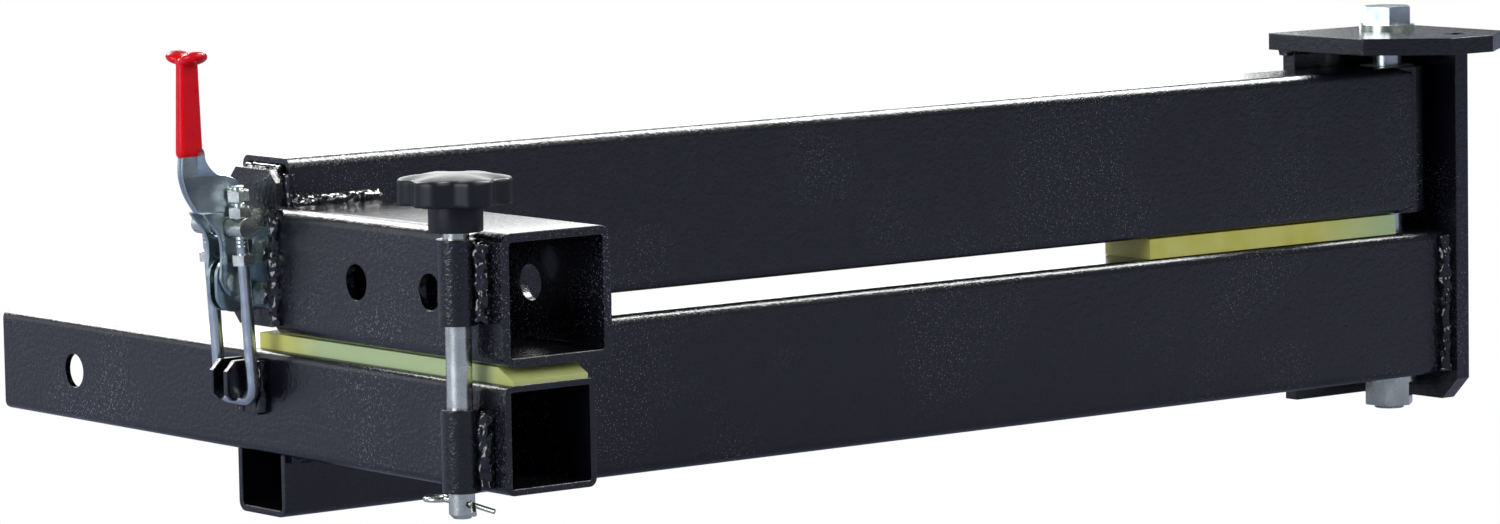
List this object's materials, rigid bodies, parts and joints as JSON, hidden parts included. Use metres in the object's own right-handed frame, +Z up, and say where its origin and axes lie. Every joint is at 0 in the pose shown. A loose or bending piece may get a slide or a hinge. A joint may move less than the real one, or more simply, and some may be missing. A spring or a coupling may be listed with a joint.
{
  "type": "swing-away hitch adapter",
  "caption": "Swing-away hitch adapter: a square hitch shank and fixed beam carry a hinged arm with a receiver tube, pull latch and locking pin.",
  "frame": {"origin": "on the vehicle hitch pin's axis, midway between the shank's side walls", "axes": "+X along the beams from the latch to the hinge, +Y along the shank towards the vehicle, +Z up"},
  "size_m": [0.822, 0.4367, 0.241],
  "materials": {
    "black_coat": "gloss powder coat",
    "zinc_bolt": "zinc plated",
    "zinc_latch": "zinc plated",
    "pad_plastic": "satin",
    "bush_plastic": "satin",
    "knob_plastic": "gloss",
    "grip_vinyl": "dipped vinyl"
  },
  "bodies": {
    "fixed_frame": {"hitch_shank": "black_coat", "lower_beam": "black_coat", "lower_pivot_sleeve": "black_coat", "hinge_end_plate": "black_coat", "hinge_back_plate": "black_coat", "hinge_top_plate": "black_coat", "pivot_bolt": "zinc_bolt", "pivot_washers": "zinc_bolt", "pivot_nut": "zinc_bolt", "front_pad": "pad_plastic", "hinge_pad": "pad_plastic", "lower_pin_sleeve": "black_coat", "cotter": "zinc_bolt", "latch_keeper": "black_coat"},
    "swing_arm": {"swing_beam": "black_coat", "arm_pivot_tube": "black_coat", "arm_bush": "bush_plastic", "receiver_tube": "black_coat", "latch_plate": "black_coat", "upper_pin_sleeve": "black_coat", "latch_base": "zinc_latch", "latch_base_bolts": "zinc_bolt", "latch_rivet": "zinc_latch"},
    "latch_lever": {"latch_handle": "zinc_latch", "handle_grip": "grip_vinyl"},
    "latch_hook": {"hook_u_bolt": "zinc_latch", "hook_trunnion": "zinc_latch", "hook_nuts": "zinc_latch"},
    "locking_pin": {"locking_pin": "zinc_bolt", "pin_knob": "knob_plastic"}
  },
  "joints": [
    {"name": "arm_swing", "type": "hinge", "parent": "fixed_frame", "child": "swing_arm", "pos_m": [0.719, -0.163, 0.025], "axis": [0, 0, 1], "range_deg": [0, 90]},
    {"name": "latch_open", "type": "hinge", "parent": "swing_arm", "child": "latch_lever", "pos_m": [-0.039, -0.163, 0.0585], "axis": [0, -1, 0], "range_deg": [0, 90]},
    {"name": "hook_tip", "type": "hinge", "parent": "fixed_frame", "child": "latch_hook", "pos_m": [-0.0345, -0.163, 0.002], "axis": [0, -1, 0], "range_deg": [0, 90]},
    {"name": "pin_lift", "type": "slide", "parent": "swing_arm", "child": "locking_pin", "axis": [0, 0, 1], "range_m": [0, 0.14]}
  ],
  "couplings": [
    {"joint": "latch_open", "follows": "arm_swing", "ratio": 1},
    {"joint": "hook_tip", "follows": "arm_swing", "ratio": 1}
  ]
}
